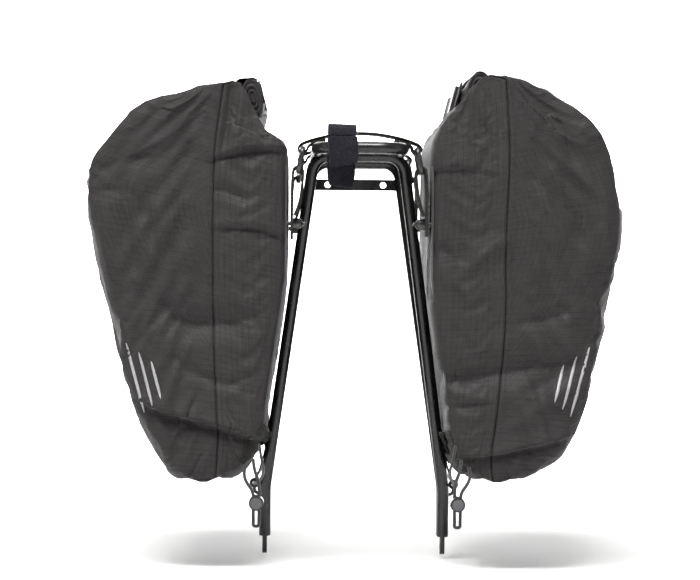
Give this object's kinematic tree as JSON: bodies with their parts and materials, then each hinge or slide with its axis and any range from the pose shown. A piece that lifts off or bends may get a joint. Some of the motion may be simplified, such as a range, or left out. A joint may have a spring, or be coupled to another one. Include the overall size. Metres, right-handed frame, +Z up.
{
  "type": "pair of roll-top saddlebags on a carrier rack",
  "caption": "Pair of soft roll-top saddlebags hung by wire rings and webbing straps on a narrow tubular carrier rack with slotted feet.",
  "frame": {"origin": "midway between the two foot eyelets, on the axis of the bolts that hold the rack's feet", "axes": "+Z up, +X to the right-hand bag, -Y to the rear end of the rack"},
  "size_m": [0.456, 0.3352, 0.415],
  "materials": {
    "rack_coating": "semi-gloss black powder coat over steel tube",
    "bag_fabric": "black coated ripstop weave, soft sheen",
    "webbing": "black ribbed polyester webbing",
    "hook_and_loop": "black brushed loop pile",
    "stiffener_sheet": "dark grey plastic sheet",
    "black_metal": "black coated steel",
    "plain_steel": "zinc-plated steel",
    "reflective_film": "light grey reflective print",
    "cord": "black braided cord",
    "buckle_plastic": "black moulded plastic",
    "lock_plastic": "black moulded plastic",
    "button_plastic": "dark grey moulded plastic"
  },
  "bodies": {
    "rack": {"deck_loop": "rack_coating", "rear_leg_arch": "rack_coating", "front_leg_arch": "rack_coating", "foot_plate_left": "rack_coating", "foot_plate_right": "rack_coating", "lamp_plate": "rack_coating", "bridge_strap_rear": "webbing", "bridge_strap_front": "webbing", "anchor_strap": "hook_and_loop"},
    "anchor_tab": {"anchor_strap_tab": "hook_and_loop"},
    "rings_left": {"strap_rings_left": "black_metal"},
    "bag_left": {"outer_panel_left": "bag_fabric", "inner_panel_left": "bag_fabric", "back_stiffener_left": "stiffener_sheet", "hanger_webbing_left": "webbing", "hanger_bolts_left": "black_metal", "hanger_nuts_left": "plain_steel", "corner_patches_left": "webbing", "reflective_mark_left": "reflective_film", "mouth_collar_left": "bag_fabric", "pull_cord_left": "cord", "lower_bungee_left": "cord", "hook_tab_left": "webbing"},
    "roll_left": {"roll_closure_left": "bag_fabric", "roll_stiffener_left": "stiffener_sheet", "buckle_socket_left": "buckle_plastic", "socket_webbing_left": "webbing", "plug_webbing_left": "webbing"},
    "buckle_plug_left": {"buckle_plug_left": "buckle_plastic"},
    "cord_lock_left": {"cord_lock_body_left": "lock_plastic", "cord_lock_spring_left": "plain_steel"},
    "lock_button_left": {"cord_lock_button_left": "button_plastic"},
    "lower_hook_left": {"lower_hook_left": "black_metal"},
    "rings_right": {"strap_rings_right": "black_metal"},
    "bag_right": {"outer_panel_right": "bag_fabric", "inner_panel_right": "bag_fabric", "back_stiffener_right": "stiffener_sheet", "hanger_webbing_right": "webbing", "hanger_bolts_right": "black_metal", "hanger_nuts_right": "plain_steel", "corner_patches_right": "webbing", "reflective_mark_right": "reflective_film", "mouth_collar_right": "bag_fabric", "pull_cord_right": "cord", "lower_bungee_right": "cord", "hook_tab_right": "webbing"},
    "roll_right": {"roll_closure_right": "bag_fabric", "roll_stiffener_right": "stiffener_sheet", "buckle_socket_right": "buckle_plastic", "socket_webbing_right": "webbing", "plug_webbing_right": "webbing"},
    "buckle_plug_right": {"buckle_plug_right": "buckle_plastic"},
    "cord_lock_right": {"cord_lock_body_right": "lock_plastic", "cord_lock_spring_right": "plain_steel"},
    "lock_button_right": {"cord_lock_button_right": "button_plastic"},
    "lower_hook_right": {"lower_hook_right": "black_metal"}
  },
  "joints": [
    {"name": "anchor_tab_peel", "type": "hinge", "parent": "rack", "child": "anchor_tab", "pos_m": [-0.013, -0.1602, 0.34985], "axis": [-1, 0, 0], "range_deg": [0, 100]},
    {"name": "ring_swing_left", "type": "hinge", "parent": "rack", "child": "rings_left", "pos_m": [-0.048, 0, 0.3434], "axis": [0, 1, 0], "range_deg": [0, 25]},
    {"name": "bag_swing_left", "type": "hinge", "parent": "rings_left", "child": "bag_left", "pos_m": [-0.0515, 0, 0.3245], "axis": [0, 1, 0], "range_deg": [0, 10]},
    {"name": "roll_unroll_left", "type": "slide", "parent": "bag_left", "child": "roll_left", "axis": [0, 0, 1], "range_m": [0, 0.04], "deforming": ["mouth_collar_left"]},
    {"name": "buckle_release_left", "type": "slide", "parent": "roll_left", "child": "buckle_plug_left", "axis": [0, 1, 0], "range_m": [0, 0.024], "deforming": ["plug_webbing_left"]},
    {"name": "cord_lock_slide_left", "type": "slide", "parent": "bag_left", "child": "cord_lock_left", "axis": [0, 0, -1], "range_m": [0, 0.01]},
    {"name": "lock_button_press_left", "type": "slide", "parent": "cord_lock_left", "child": "lock_button_left", "axis": [0, 1, 0], "range_m": [0, 0.0025], "stiffness_N_per_m": 800, "deforming": ["cord_lock_spring_left"]},
    {"name": "hook_release_left", "type": "slide", "parent": "bag_left", "child": "lower_hook_left", "axis": [-1, 0, 0], "range_m": [0, 0.008], "stiffness_N_per_m": 250, "deforming": ["lower_bungee_left"]},
    {"name": "ring_swing_right", "type": "hinge", "parent": "rack", "child": "rings_right", "pos_m": [0.048, 0, 0.3434], "axis": [0, -1, 0], "range_deg": [0, 25]},
    {"name": "bag_swing_right", "type": "hinge", "parent": "rings_right", "child": "bag_right", "pos_m": [0.0515, 0, 0.3245], "axis": [0, -1, 0], "range_deg": [0, 10]},
    {"name": "roll_unroll_right", "type": "slide", "parent": "bag_right", "child": "roll_right", "axis": [0, 0, 1], "range_m": [0, 0.04], "deforming": ["mouth_collar_right"]},
    {"name": "buckle_release_right", "type": "slide", "parent": "roll_right", "child": "buckle_plug_right", "axis": [0, 1, 0], "range_m": [0, 0.024], "deforming": ["plug_webbing_right"]},
    {"name": "cord_lock_slide_right", "type": "slide", "parent": "bag_right", "child": "cord_lock_right", "axis": [0, 0, -1], "range_m": [0, 0.01]},
    {"name": "lock_button_press_right", "type": "slide", "parent": "cord_lock_right", "child": "lock_button_right", "axis": [0, 1, 0], "range_m": [0, 0.0025], "stiffness_N_per_m": 800, "deforming": ["cord_lock_spring_right"]},
    {"name": "hook_release_right", "type": "slide", "parent": "bag_right", "child": "lower_hook_right", "axis": [1, 0, 0], "range_m": [0, 0.008], "stiffness_N_per_m": 250, "deforming": ["lower_bungee_right"]}
  ]
}
